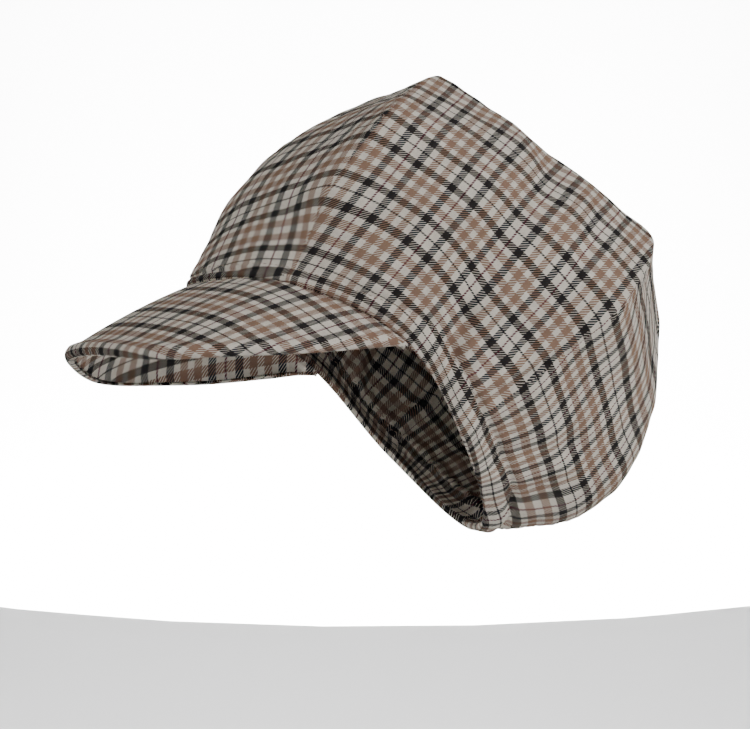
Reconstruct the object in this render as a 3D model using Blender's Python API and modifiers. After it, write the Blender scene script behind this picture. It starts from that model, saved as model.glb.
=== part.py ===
"""Slouch cap of checked cotton twill, in the shape that it has when it is worn.

A deep bag with four soft corners leans back over the head. Its cloth is eased onto an elastic
hem at the head opening, and a stiff arched peak is sewn to the front of that hem.
Metres. The front is -Y, the wearer's left is +X, and up is +Z.
"""

import math
from collections import namedtuple

import bpy
import numpy as np

# The head opening, a slanted loop that runs from the brow down to the nape
RIM_WIDTH = 0.152
RIM_LENGTH = 0.169
FRONT_REACH = 0.100
NAPE_DROP = 0.1315

# The crown, measured along and across its own axis, which leans back by CROWN_LEAN
CROWN_WIDTH = 0.197
CROWN_DEPTH = 0.270
CROWN_HEIGHT = 0.172
CROWN_LEAN = math.radians(36.5)
CLOTH = 0.0018

# The hem, where the cloth is turned in over the elastic
HEM_THICKNESS = 0.0040
HEM_HEIGHT = 0.010
HEM_CREASE_DEPTH = 0.0020
HEM_CREASE_WIDTH = 0.0045

# The peak, whose reach, flare and drop are measured from the hem
PEAK_REACH = 0.068
PEAK_FLARE = 0.027
PEAK_DROP = 0.0475
PEAK_CAMBER = 0.0020
PEAK_COVER = 0.0020
COVER_GAP = 0.0003
SEAM_GAP = 0.0003

# The worn crown's main folds: a broad valley down the side, a sharp pucker at the hem behind
# the ear, and narrow folds that fan out above the nape
VALLEY_DEPTH = 0.0045
VALLEY_WIDTH = 0.017
PUCKER_DEPTH = 0.0035
PUCKER_WIDTH = 0.0065
NAPE_FOLD_DEPTH = 0.0040
NAPE_FOLD_WIDTH = 0.0075

# Mesh fineness
PANEL_COLUMNS = (7, 7, 7, 8)
HEM_ROWS = 5
CROWN_ROWS = 19
PEAK_COLUMNS = 14
PEAK_ROWS = 6
MERGE = 0.00005

# The checked cloth's colour as it looks from afar
CHECK_COLOUR = (0.46, 0.39, 0.33)

# The rim. station: share of the way round from front to nape. across: share of half the rim's
# width. back: share of its length. drop: share of the drop to the nape.
RimPoint = namedtuple("RimPoint", "station across back drop")
RIM = (
    RimPoint(0.00, 0.000, 0.000, 0.000),
    RimPoint(0.12, 0.434, 0.077, 0.008),
    RimPoint(0.25, 0.763, 0.228, 0.038),
    RimPoint(0.37, 0.947, 0.420, 0.144),
    RimPoint(0.46, 1.000, 0.568, 0.259),
    RimPoint(0.57, 0.934, 0.686, 0.426),
    RimPoint(0.71, 0.789, 0.817, 0.646),
    RimPoint(0.86, 0.500, 0.929, 0.909),
    RimPoint(1.00, 0.000, 1.000, 1.000),
)

# Sections of the crown from hem to top centre, each through five points. height: share of the
# way up the cloth. front and back, on the centre line: (along, up). front_corner, side and
# back_corner: (across, along, up). across is a share of half the crown's width, along of its
# depth and up of its height.
Section = namedtuple("Section", "height front front_corner side back_corner back")
SECTIONS = (
    Section(0.10, (-0.019, 0.151), (0.640, 0.104, 0.215), (0.853, 0.359, 0.262),
            (0.670, 0.604, 0.169), (0.889, 0.105)),
    Section(0.24, (-0.037, 0.355), (0.772, 0.067, 0.413), (0.954, 0.363, 0.448),
            (0.761, 0.641, 0.372), (0.974, 0.262)),
    Section(0.36, (-0.020, 0.529), (0.853, 0.059, 0.558), (0.995, 0.367, 0.593),
            (0.843, 0.663, 0.535), (0.993, 0.477)),
    Section(0.46, (0.002, 0.657), (0.873, 0.063, 0.692), (0.995, 0.370, 0.721),
            (0.904, 0.681, 0.686), (0.952, 0.669)),
    Section(0.56, (0.037, 0.785), (0.772, 0.074, 0.808), (0.934, 0.374, 0.843),
            (0.853, 0.693, 0.820), (0.878, 0.860)),
    Section(0.65, (0.085, 0.907), (0.650, 0.093, 0.895), (0.812, 0.378, 0.942),
            (0.741, 0.696, 0.930), (0.800, 0.994)),
    Section(0.74, (0.152, 0.965), (0.538, 0.130, 0.977), (0.629, 0.385, 1.006),
            (0.599, 0.678, 1.029), (0.711, 1.064)),
    Section(0.87, (0.274, 0.983), (0.305, 0.244, 0.994), (0.345, 0.396, 1.012),
            (0.345, 0.563, 1.041), (0.570, 1.047)),
    Section(1.00, (0.407, 1.000), (0.000, 0.407, 1.000), (0.000, 0.407, 1.000),
            (0.000, 0.407, 1.000), (0.407, 1.000)),
)
# Stations of the five points, and the heights between which each corner's dart grows sharp
KEY_STATIONS = (0.00, 0.25, 0.46, 0.72, 1.00)
FRONT_DART = (0.02, 0.45)
BACK_DART = (0.20, 0.55)

# Folds pressed into the crown. route: (station, height) of the points that each one runs by.
Fold = namedtuple("Fold", "depth width route")
FOLDS = (
    Fold(VALLEY_DEPTH, VALLEY_WIDTH, ((0.490, 0.64), (0.480, 0.44), (0.475, 0.28), (0.520, 0.17))),
    Fold(PUCKER_DEPTH, PUCKER_WIDTH, ((0.530, 0.18), (0.560, 0.13), (0.580, 0.09))),
    Fold(NAPE_FOLD_DEPTH, NAPE_FOLD_WIDTH, ((0.800, 0.08), (0.810, 0.15), (0.825, 0.23))),
    Fold(NAPE_FOLD_DEPTH, NAPE_FOLD_WIDTH, ((0.900, 0.06), (0.895, 0.12), (0.885, 0.19))),
)

# The peak's outer edge, offset from the hem at each station: shares of the flare (out), the
# reach (ahead) and the drop (down)
EdgePoint = namedtuple("EdgePoint", "station out ahead down")
PEAK_EDGE = (
    EdgePoint(0.00, 0.00, 1.00, 0.82),
    EdgePoint(0.06, 0.41, 0.97, 0.85),
    EdgePoint(0.12, 0.84, 0.87, 0.92),
    EdgePoint(0.20, 1.00, 0.72, 0.92),
    EdgePoint(0.30, 0.78, 0.33, 0.72),
    EdgePoint(0.38, 0.38, 0.05, 0.41),
    EdgePoint(0.45, 0.12, 0.04, 0.12),
)

ACROSS = np.array((1.0, 0.0, 0.0))
MIRROR = np.array((-1.0, 1.0, 1.0))
ALONG = np.array((0.0, math.cos(CROWN_LEAN), -math.sin(CROWN_LEAN)))
UP = np.array((0.0, math.sin(CROWN_LEAN), math.cos(CROWN_LEAN)))
RIM_FRONT = np.array((0.0, -FRONT_REACH, 0.0))


def start_scene():
    """Empty the scene and return the collection that the cap goes in."""
    for old in list(bpy.data.objects):
        bpy.data.objects.remove(old, do_unlink=True)
    cap = bpy.data.collections.new("slouch_cap")
    bpy.context.scene.collection.children.link(cap)
    return cap


def hermite(share, start, end, leave, arrive):
    """Point on the curve from start to end with the given end tangents."""
    square = share * share
    cube = square * share
    return (
        (2 * cube - 3 * square + 1) * start
        + (cube - 2 * square + share) * leave
        + (3 * square - 2 * cube) * end
        + (cube - square) * arrive
    )


def smooth_curve(stations, points, at):
    """Point at one station of a smooth curve through points."""
    last = len(stations) - 1
    slopes = []
    for i in range(last + 1):
        before = max(i - 1, 0)
        after = min(i + 1, last)
        if before == i or after == i:
            slopes.append((points[after] - points[before]) / (stations[after] - stations[before]))
            continue
        span_in = stations[i] - stations[before]
        span_out = stations[after] - stations[i]
        slope_in = (points[i] - points[before]) / span_in
        slope_out = (points[after] - points[i]) / span_out
        slopes.append((slope_in * span_out + slope_out * span_in) / (span_in + span_out))
    i = 0
    while i < last - 1 and at >= stations[i + 1]:
        i += 1
    span = stations[i + 1] - stations[i]
    share = (at - stations[i]) / span
    return hermite(share, points[i], points[i + 1], slopes[i] * span, slopes[i + 1] * span)


def unit(vector):
    """Vector scaled to length one, or left as it is when it has no length."""
    length = np.linalg.norm(vector)
    return vector / length if length > 1e-9 else vector


def rim_point(station):
    """Point of the hem's outer lower edge, with the curve carried past both mirror ends."""
    stations = [row.station for row in RIM]
    points = [
        np.array(
            (row.across * RIM_WIDTH / 2, row.back * RIM_LENGTH - FRONT_REACH, -row.drop * NAPE_DROP)
        )
        for row in RIM
    ]
    stations = [-stations[1]] + stations + [2 - stations[-2]]
    points = [points[1] * MIRROR] + points + [points[-2] * MIRROR]
    return smooth_curve(stations, points, station)


def crown_point(across, along, up):
    """World point from shares of the crown's half width, depth and height."""
    return (
        RIM_FRONT
        + ACROSS * across * CROWN_WIDTH / 2
        + ALONG * along * CROWN_DEPTH
        + UP * up * CROWN_HEIGHT
    )


def key_points(height):
    """The five points that the section at this height passes through."""
    heights = [0.0]
    tracks = [[rim_point(station)] for station in KEY_STATIONS]
    for row in SECTIONS:
        heights.append(row.height)
        tracks[0].append(crown_point(0.0, *row.front))
        tracks[1].append(crown_point(*row.front_corner))
        tracks[2].append(crown_point(*row.side))
        tracks[3].append(crown_point(*row.back_corner))
        tracks[4].append(crown_point(0.0, *row.back))
    return [smooth_curve(heights, track, height) for track in tracks]


def section(height):
    """Half a section of the crown, from front centre round to back centre."""
    points = key_points(height)
    chords = [points[i + 1] - points[i] for i in range(4)]
    lengths = [np.linalg.norm(chord) for chord in chords]
    arrive = [ACROSS, None, None, None, -ACROSS]
    for i in (1, 2, 3):
        turn = unit(chords[i - 1]) * lengths[i] + unit(chords[i]) * lengths[i - 1]
        arrive[i] = unit(turn)
    leave = list(arrive)
    for i, (soft, sharp) in ((1, FRONT_DART), (3, BACK_DART)):
        edge = min(max((height - soft) / (sharp - soft), 0.0), 1.0)
        smooth = arrive[i]
        arrive[i] = unit(smooth * (1 - edge) + unit(chords[i - 1]) * edge)
        leave[i] = unit(smooth * (1 - edge) + unit(chords[i]) * edge)
    row = []
    for i, columns in enumerate(PANEL_COLUMNS):
        for j in range(columns):
            row.append(
                hermite(
                    j / columns, points[i], points[i + 1], leave[i] * lengths[i], arrive[i + 1] * lengths[i]
                )
            )
    row.append(points[4])
    return row


def column_stations():
    """Station of each column of the crown's mesh."""
    stations = []
    for i, columns in enumerate(PANEL_COLUMNS):
        span = KEY_STATIONS[i + 1] - KEY_STATIONS[i]
        stations.extend(KEY_STATIONS[i] + span * j / columns for j in range(columns))
    return stations + [1.0]


def row_heights():
    """Heights of the crown's rows: close together at the hem, then even."""
    first = SECTIONS[0].height
    hem = [first * i / HEM_ROWS for i in range(HEM_ROWS)]
    return hem + [first + (1 - first) * i / CROWN_ROWS for i in range(CROWN_ROWS + 1)]


def distance_to_route(points, route):
    """Distance of each of the points from a line through the route's points."""
    nearest = np.full(points.shape[:-1], np.inf)
    for start, end in zip(route[:-1], route[1:]):
        run = end - start
        share = np.clip((points - start) @ run / (run @ run), 0.0, 1.0)
        foot = start + share[..., None] * run
        nearest = np.minimum(nearest, np.linalg.norm(points - foot, axis=-1))
    return nearest


def press_folds(grid):
    """Press the hem's crease and the worn folds into the crown's grid of points."""
    normals = np.cross(np.gradient(grid, axis=1), np.gradient(grid, axis=0))
    normals /= np.maximum(np.linalg.norm(normals, axis=-1, keepdims=True), 1e-12)
    steps = np.linalg.norm(np.diff(grid, axis=0), axis=-1)
    climbed = np.vstack([np.zeros(grid.shape[1]), np.cumsum(steps, axis=0)])
    depth = HEM_CREASE_DEPTH * np.exp(-(((climbed - HEM_HEIGHT) / HEM_CREASE_WIDTH) ** 2))
    stations = np.array(column_stations())
    heights = np.array(row_heights())
    for fold in FOLDS:
        points = []
        for station, height in fold.route:
            column = int(np.argmin(np.abs(stations - station)))
            row = int(np.argmin(np.abs(heights - height)))
            points.append(grid[row, column])
        depth += fold.depth * np.exp(-((distance_to_route(grid, points) / fold.width) ** 2))
    folded = grid - normals * depth[..., None]
    folded[0] = grid[0]
    folded[-1] = grid[-1]
    folded[:, 0, 0] = 0.0
    folded[:, -1, 0] = 0.0
    return folded


def cloth_material(name, colour):
    """Matt woven cloth."""
    material = bpy.data.materials.new(name)
    material.use_nodes = True
    shader = material.node_tree.nodes["Principled BSDF"]
    shader.inputs["Base Color"].default_value = (*colour, 1.0)
    shader.inputs["Roughness"].default_value = 0.9
    shader.inputs["Metallic"].default_value = 0.0
    return material


def sheet(name, grid, colour, cap, closed_top=False):
    """Half of a symmetric cloth surface from a grid of points, mirrored across X."""
    rows, columns = grid.shape[:2]
    body = rows - 1 if closed_top else rows
    vertices = [tuple(point) for row in grid[:body] for point in row]
    faces = []
    for r in range(body - 1):
        for c in range(columns - 1):
            corner = r * columns + c
            faces.append((corner, corner + 1, corner + columns + 1, corner + columns))
    if closed_top:
        top = len(vertices)
        vertices.append(tuple(grid[-1, 0]))
        last = (body - 1) * columns
        for c in range(columns - 1):
            faces.append((last + c, last + c + 1, top))
    mesh = bpy.data.meshes.new(name)
    mesh.from_pydata(vertices, [], faces)
    mesh.update()
    mesh.shade_smooth()
    piece = bpy.data.objects.new(name, mesh)
    piece.data.materials.append(cloth_material(name + "_cloth", colour))
    cap.objects.link(piece)
    mirror = piece.modifiers.new("other_half", "MIRROR")
    mirror.use_axis[0] = True
    mirror.merge_threshold = MERGE
    return piece


def add_wall(piece, thickness):
    """Give the cloth its thickness on the inner side."""
    wall = piece.modifiers.new("wall", "SOLIDIFY")
    wall.thickness = thickness
    wall.offset = -1.0
    return wall


def make_crown(cap):
    """The bag of the cap, thicker at its turned hem."""
    grid = press_folds(np.array([section(height) for height in row_heights()]))
    crown = sheet("crown", grid, CHECK_COLOUR, cap, closed_top=True)
    columns = grid.shape[1]
    climbed = np.cumsum(np.linalg.norm(np.diff(grid[:, columns // 2], axis=0), axis=-1))
    hem = crown.vertex_groups.new(name="hem")
    hem_rows = 1 + int(np.sum(climbed < HEM_HEIGHT))
    hem.add(list(range(hem_rows * columns)), 1.0, "REPLACE")
    wall = add_wall(crown, HEM_THICKNESS)
    wall.vertex_group = hem.name
    wall.thickness_vertex_group = CLOTH / HEM_THICKNESS


def peak_grid():
    """Points of the peak's upper face, from the hem seam out to its edge."""
    stations = [row.station for row in PEAK_EDGE]
    offsets = [
        np.array((row.out * PEAK_FLARE, -row.ahead * PEAK_REACH, -row.down * PEAK_DROP))
        for row in PEAK_EDGE
    ]
    carried = [-stations[1]] + stations
    carried_offsets = [offsets[1] * MIRROR] + offsets
    seam = []
    edge = []
    for c in range(PEAK_COLUMNS + 1):
        station = stations[-1] * c / PEAK_COLUMNS
        hem = rim_point(station)
        offset = smooth_curve(carried, carried_offsets, station)
        seam.append(hem + unit(offset) * SEAM_GAP)
        edge.append(hem + offset)
    seam = np.array(seam)
    edge = np.array(edge)
    round_the_hem = np.gradient(seam, axis=0)
    round_the_hem[0] = ACROSS
    normals = np.cross(round_the_hem, edge - seam)
    normals /= np.linalg.norm(normals, axis=-1, keepdims=True)
    normals *= np.sign(normals[:, 2:3])
    grid = []
    for r in range(PEAK_ROWS + 1):
        share = r / PEAK_ROWS
        bulge = 4 * share * (1 - share) * PEAK_CAMBER
        grid.append(seam * (1 - share) + edge * share + normals * bulge)
    grid = np.array(grid)
    grid[:, 0, 0] = 0.0
    return grid


def make_peak(cap):
    """The peak's two cloth covers, one above the other."""
    grid = peak_grid()[::-1]
    top = sheet("peak_top_cover", grid, CHECK_COLOUR, cap)
    add_wall(top, PEAK_COVER)
    under = sheet("peak_under_cover", grid, CHECK_COLOUR, cap)
    lowered = under.modifiers.new("below_top_cover", "DISPLACE")
    lowered.direction = "NORMAL"
    lowered.mid_level = 0.0
    lowered.strength = -(PEAK_COVER + COVER_GAP)
    add_wall(under, PEAK_COVER)


cap_collection = start_scene()
make_crown(cap_collection)
make_peak(cap_collection)
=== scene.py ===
import math

import bpy
import numpy as np
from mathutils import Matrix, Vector, noise


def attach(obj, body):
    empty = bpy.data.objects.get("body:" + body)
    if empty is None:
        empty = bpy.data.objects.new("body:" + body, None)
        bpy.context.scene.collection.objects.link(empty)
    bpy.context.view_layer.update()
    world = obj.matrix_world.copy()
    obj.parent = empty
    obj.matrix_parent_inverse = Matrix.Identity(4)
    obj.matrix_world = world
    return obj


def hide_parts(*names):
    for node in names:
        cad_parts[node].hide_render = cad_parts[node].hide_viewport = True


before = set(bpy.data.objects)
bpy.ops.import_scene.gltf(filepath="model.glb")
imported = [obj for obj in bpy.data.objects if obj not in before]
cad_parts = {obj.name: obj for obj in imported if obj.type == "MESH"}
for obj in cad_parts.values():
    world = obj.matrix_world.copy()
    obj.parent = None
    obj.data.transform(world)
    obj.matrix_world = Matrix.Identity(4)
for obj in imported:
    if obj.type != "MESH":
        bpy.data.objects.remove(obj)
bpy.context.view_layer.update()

# THE CROWN
# One deep bag of checked cotton twill. Four darts, sewn from its corners to the top centre, shape
# it, a seam at the centre back closes it, and its hem is turned in over an elastic. When it is
# worn, it leans back and slumps.

# The opening's edge: station round it from the front to the back, then across, back and up in
# millimetres
RIM = np.array((
    (0.00, 0.0, -100.0, 0.0),
    (0.12, 33.0, -87.0, -1.0),
    (0.25, 58.0, -61.5, -5.0),
    (0.37, 72.0, -29.0, -19.0),
    (0.46, 76.0, -4.0, -34.0),
    (0.57, 71.0, 16.0, -56.0),
    (0.71, 60.0, 38.0, -85.0),
    (0.86, 38.0, 57.0, -119.5),
    (1.00, 0.0, 69.0, -131.5),
))
# Sections of the bag: height as a share of the way from the hem to the top centre, then the front,
# front corner, side, back corner and back as (across, along, up) on the crown's own leaning axes
SECTIONS = (
    (0.10, (0, -5, 26), (63, 28, 37), (84, 97, 45), (66, 163, 29), (0, 240, 18)),
    (0.24, (0, -10, 61), (76, 18, 71), (94, 98, 77), (75, 173, 64), (0, 263, 45)),
    (0.36, (0, -5.5, 91), (84, 16, 96), (98, 99, 102), (83, 179, 92), (0, 268, 82)),
    (0.46, (0, 0.5, 113), (86, 17, 119), (98, 100, 124), (89, 184, 118), (0, 257, 115)),
    (0.56, (0, 10, 135), (76, 20, 139), (92, 101, 145), (84, 187, 141), (0, 237, 148)),
    (0.65, (0, 23, 156), (64, 25, 154), (80, 102, 162), (73, 188, 160), (0, 216, 171)),
    (0.74, (0, 41, 166), (53, 35, 168), (62, 104, 173), (59, 183, 177), (0, 192, 183)),
    (0.87, (0, 74, 169), (30, 66, 171), (34, 107, 174), (34, 152, 179), (0, 154, 180)),
    (1.00, (0, 110, 172), (0, 110, 172), (0, 110, 172), (0, 110, 172), (0, 110, 172)),
)
FRONT_CORNER = 0.25
SIDE = 0.46
BACK_CORNER = 0.72
STATIONS = np.array((0.0, FRONT_CORNER, SIDE, BACK_CORNER, 1.0))
LEAN = math.radians(36.5)
# Height where each dart starts, and height where its corner is fully sharp
FRONT_DART = (0.02, 0.45)
BACK_DART = (0.20, 0.55)

# In millimetres: how thick the bag's cloth is, and how tall it is before it is sewn
CLOTH = 1.1
CLOTH_HEIGHT = 250.0
# The hem: the radius of its rolled edge, how far its cloth is turned up inside, and what share
# thinner it gets on the way up there
HEM_ROLL = 2.2
HEM_FACING = 21.0
HEM_THINNING = 0.25
THINNING_START = 4.0
# The hem's casing: its height at the front, what it gains behind the peak and loses at the back,
# over which stations it does so, and the crease and swell that its stitches make
CASING = 9.5
CASING_GAIN = 9.0
CASING_LOSS = 3.0
GAIN_STATIONS = (0.34, 0.52)
LOSS_STATIONS = (0.86, 1.0)
HEM_CREASE = 2.6
HEM_CREASE_WIDTH = 2.8
HEM_SWELL = 1.1
# The elastic's gathers: the stations over which they begin, their depth, the lengths of the long
# and the short ones, and their reach
GATHER_STATIONS = (0.30, 0.50)
GATHER = 0.8
GATHER_LENGTH = 9.0
SHORT_GATHER_LENGTH = 5.7
GATHER_REACH = 9.0
# The grooves along the seams: depth at the front darts, and at the back darts and the back seam,
# width, where the back seam's starts, the heights over which they grow and fade out, and the
# puckers beside them
DART_GROOVE = 1.1
BACK_GROOVE = 0.6
GROOVE_WIDTH = 1.1
BACK_SEAM_START = 0.03
GROOVE_GROWTH = 0.06
GROOVE_FADE = (0.58, 0.74)
PUCKER = 0.3
PUCKER_LENGTH = 7.3
PUCKER_WIDTH = 2.5
# The tuck above the peak, the stations over which it ends, the cloth that hangs over it, and the
# cloth that it takes up
TUCK_STATIONS = (0.12, 0.25)
TUCK_HEIGHT = 5.4
TUCK_DEPTH = 1.9
TUCK_WIDTH = 1.1
TUCK_OVERHANG = 0.7
OVERHANG_HEIGHT = 4.0
OVERHANG_WIDTH = 3.0
FRONT_TAKEN_UP = 12.0
# Small wrinkles: how proud they stand and how long they are, and the heights over which they begin,
# because the elastic keeps the hem free of them
WRINKLES = ((1.9, 31.0), (0.6, 10.0))
WRINKLE_START = (2.0, 14.0)

# The mesh: close rows up the hem to HEM_TOP, wider rows from there up, and columns along each panel
# of the left half, crowded at the seams
HEM_ROWS = 26
HEM_TOP = 26.0
BAG_ROWS = 106
FRONT_COLUMNS = 36
SIDE_COLUMNS = 82
BACK_COLUMNS = 46
CROWDING = 0.72

# Folds that wearing has pressed in: depth and width in millimetres, then (station, height) points.
# A negative depth stands proud.
FOLDS = (
    # The hollow down the side, the swell behind it, and the crease and swell at its foot
    (5.2, 15.0, ((0.482, 0.64), (0.482, 0.44), (0.473, 0.28), (0.500, 0.20), (0.525, 0.16))),
    (-2.0, 9.0, ((0.535, 0.56), (0.535, 0.42), (0.530, 0.30), (0.545, 0.22))),
    (3.6, 4.6, ((0.534, 0.19), (0.557, 0.14), (0.579, 0.10))),
    (-2.2, 5.0, ((0.560, 0.19), (0.580, 0.15), (0.600, 0.11))),
    # The crease along the foot of the back dart, and the swell before it
    (2.4, 4.0, ((0.712, 0.31), (0.709, 0.24), (0.706, 0.19), (0.698, 0.11))),
    (-1.4, 5.0, ((0.690, 0.29), (0.685, 0.22), (0.680, 0.16))),
    # Folds that fan up from the hem at the back
    (4.0, 7.5, ((0.800, 0.08), (0.810, 0.15), (0.825, 0.23))),
    (4.0, 7.5, ((0.900, 0.06), (0.895, 0.12), (0.885, 0.19))),
    (1.8, 3.0, ((0.860, 0.075), (0.868, 0.12), (0.862, 0.17))),
    (1.6, 3.0, ((0.755, 0.075), (0.760, 0.13))),
    # Soft folds in front of the side, behind it, and on the front panel
    (1.5, 5.0, ((0.330, 0.09), (0.335, 0.16), (0.350, 0.24))),
    (1.6, 7.0, ((0.400, 0.12), (0.395, 0.20), (0.400, 0.30))),
    (1.8, 8.0, ((0.600, 0.62), (0.610, 0.50), (0.640, 0.38))),
    (1.2, 6.0, ((0.180, 0.30), (0.185, 0.20), (0.190, 0.10))),
    # The crest below the top
    (-1.9, 12.0, ((0.262, 0.75), (0.300, 0.745), (0.350, 0.735), (0.390, 0.73))),
)

# How far the check has slipped up the bag from an even hang, in millimetres: a height, then the
# slip at each of these stations. The front's cloth below the tuck has one even slip, which joins
# the rest over BAND_STATIONS.
BAND_SLIP = 6.0
BAND_STATIONS = (0.17, 0.27)
SLIP_STATIONS = np.array(
    (0.0, 0.08, 0.16, 0.25, 0.36, 0.46, 0.54, 0.60, 0.66, 0.72, 0.78, 0.86, 1.0)
)
SLIP = (
    (0.035, (22, 11, 4, 0, -1, 0, 3, 6, 7, 5, 7, 11, 18)),
    (0.100, (28, 16, 7, 0, -1, 1, 3, 5, 4, 3, 6, 11, 22)),
    (0.180, (32, 21, 12, 1, -1, 3, 6, 5, 3, 2, 5, 12, 26)),
    (0.260, (29, 22, 13, 0, -2, 3, 7, 5, 2, 1, 6, 14, 30)),
    (0.360, (22, 17, 8, -3, -2, 1, 3, 2, 0, 1, 7, 17, 33)),
    (0.480, (16, 10, 2, -3, -1, 0, 0, -1, -1, 0, 5, 15, 32)),
    (0.620, (9, 6, 3, 0, -1, 0, 0, -1, -2, -2, 1, 10, 27)),
    (0.800, (2, 2, 1, 0, 0, 0, 0, 0, 0, 1, 3, 8, 20)),
    (1.000, (-4, -3, -2, 0, 0, 0, 1, 1, 2, 3, 5, 8, 13)),
)
# The height above which a front dart parts the cloth, and how far the side panel's check drifts
# forward between two heights
FRONT_PARTS = 0.05
SIDE_DRIFT = 8.0
DRIFT_HEIGHTS = (0.45, 0.80)
# Where the back panel lies in its uncut cloth, in millimetres round and up: a height, then the
# place at each of these stations. The hem's pull crowds the cloth beside the back dart.
BACK_STATIONS = np.array((0.72, 0.76, 0.80, 0.86, 0.93, 1.0))
BACK_CLOTH = (
    (0.00, (79, 5), (104, 6), (131, 8), (173, 11), (197, 8), (220, 6)),
    (0.06, (79, 19), (104, 21), (131, 23), (173, 26), (200, 26), (225, 24)),
    (0.12, (78, 33), (104, 34), (131, 37), (173, 41), (202, 43), (228, 42)),
    (0.20, (78, 52), (104, 54), (131, 57), (173, 62), (205, 63), (232, 63)),
    (0.28, (82, 71), (109, 74), (138, 78), (181, 85), (213, 84), (242, 85)),
    (0.36, (87, 91), (113, 95), (142, 99), (185, 107), (218, 107), (247, 108)),
    (0.44, (87, 111), (112, 114), (139, 118), (180, 126), (213, 129), (241, 132)),
    (0.52, (104, 129), (126, 132), (150, 136), (185, 144), (213, 150), (238, 156)),
    (0.60, (128, 148), (147, 150), (167, 153), (194, 161), (210, 173), (229, 181)),
    (0.68, (143, 164), (154, 167), (165, 172), (180, 180), (196, 191), (210, 202)),
    (0.76, (149, 183), (156, 187), (163, 192), (172, 199), (183, 209), (194, 218)),
    (0.84, (147, 207), (151, 211), (156, 214), (162, 220), (170, 227), (177, 234)),
    (0.92, (143, 237), (145, 239), (148, 242), (151, 245), (155, 249), (159, 252)),
    (0.98, (143, 264), (142, 264), (142, 265), (142, 266), (143, 267), (144, 268)),
)


def hermite(share, start, end, leave, arrive):
    """Points on the curves from start to end with the given end tangents."""
    square = share * share
    cube = square * share
    return (
        (2 * cube - 3 * square + 1) * start
        + (cube - 2 * square + share) * leave
        + (3 * square - 2 * cube) * end
        + (cube - square) * arrive
    )


def smooth_curve(stations, points, at):
    """Points at the stations in at, on a smooth curve through points."""
    spans = np.diff(stations)[:, None]
    chords = np.diff(points, axis=0) / spans
    slopes = np.vstack([chords[:1], chords[:1], chords[1:]])
    slopes[1:-1] = (chords[:-1] * spans[1:] + chords[1:] * spans[:-1]) / (spans[1:] + spans[:-1])
    slopes[-1] = chords[-1]
    i = np.clip(np.searchsorted(stations, at, side="right") - 1, 0, len(spans) - 1)
    share = ((at - stations[i]) / spans[i, 0])[:, None]
    return hermite(share, points[i], points[i + 1], slopes[i] * spans[i], slopes[i + 1] * spans[i])


def unit(vectors):
    """Vectors scaled to length one, with a zero vector left as it is."""
    return vectors / np.maximum(np.linalg.norm(vectors, axis=-1, keepdims=True), 1e-9)


def ease(value, start, end):
    """0 before start, 1 after end, and a soft step between."""
    share = np.clip((value - start) / (end - start), 0.0, 1.0)
    return share * share * (3 - 2 * share)


def rim_points(stations):
    """Points of the hem's lower edge at stations from the front (0) to the back (1)."""
    flip = np.array((-1.0, 1.0, 1.0))
    carried = np.concatenate([[-RIM[1, 0]], RIM[:, 0], [2 - RIM[-2, 0]]])
    points = np.vstack([RIM[1, 1:] * flip, RIM[:, 1:], RIM[-2, 1:] * flip])
    return smooth_curve(carried, points, stations)


def crown_grid(heights, stations):
    """Points of the half crown: one row for each height, one column for each station."""
    axes = np.array((
        (1.0, 0.0, 0.0),
        (0.0, math.cos(LEAN), -math.sin(LEAN)),
        (0.0, math.sin(LEAN), math.cos(LEAN)),
    ))
    levels = np.array([0.0] + [row[0] for row in SECTIONS])
    front = RIM[0, 1:]
    tracks = []
    for k in range(5):
        track = [rim_points(STATIONS[k:k + 1])[0]]
        track += [front + np.array(row[1 + k], float) @ axes for row in SECTIONS]
        tracks.append(smooth_curve(levels, np.array(track), heights))
    points = np.stack(tracks, axis=1)
    chords = np.diff(points, axis=1)
    lengths = np.linalg.norm(chords, axis=2, keepdims=True)
    ways = unit(chords)
    arrive = np.zeros_like(points)
    arrive[:, 0] = (1, 0, 0)
    arrive[:, 4] = (-1, 0, 0)
    arrive[:, 1:4] = unit(ways[:, :3] * lengths[:, 1:] + ways[:, 1:] * lengths[:, :3])
    leave = arrive.copy()
    for k, (soft, sharp) in ((1, FRONT_DART), (3, BACK_DART)):
        edge = np.clip((heights - soft) / (sharp - soft), 0.0, 1.0)[:, None]
        smooth = arrive[:, k].copy()
        arrive[:, k] = unit(smooth * (1 - edge) + ways[:, k - 1] * edge)
        leave[:, k] = unit(smooth * (1 - edge) + ways[:, k] * edge)
    i = np.clip(np.searchsorted(STATIONS, stations, side="right") - 1, 0, 3)
    share = ((stations - STATIONS[i]) / (STATIONS[i + 1] - STATIONS[i]))[None, :, None]
    leaving = leave[:, i] * lengths[:, i]
    arriving = arrive[:, i + 1] * lengths[:, i]
    return hermite(share, points[:, i], points[:, i + 1], leaving, arriving)


def toward_seams(count, first, last, both_sewn=True):
    """Stations from first to last, closer together beside both ends, or beside the last alone."""
    share = np.arange(count + 1) / count
    if both_sewn:
        share = share - CROWDING * np.sin(2 * np.pi * share) / (2 * np.pi)
    else:
        share = share + CROWDING * np.sin(np.pi * share) / np.pi
    return first + (last - first) * share


def outward(grid):
    """Unit normals of the left half grid, pointing out of the bag."""
    normals = np.cross(np.gradient(grid, axis=1), np.gradient(grid, axis=0))
    normals[-1] = (0.0, math.sin(LEAN), math.cos(LEAN))
    return unit(normals)


def distance_to(points, route):
    """Distance of each of the points from the line through the route's points."""
    nearest = np.full(points.shape[:-1], np.inf)
    for start, end in zip(route[:-1], route[1:]):
        run = end - start
        share = np.clip((points - start) @ run / (run @ run), 0.0, 1.0)
        foot = start + share[..., None] * run
        nearest = np.minimum(nearest, np.linalg.norm(points - foot, axis=-1))
    return nearest


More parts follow.
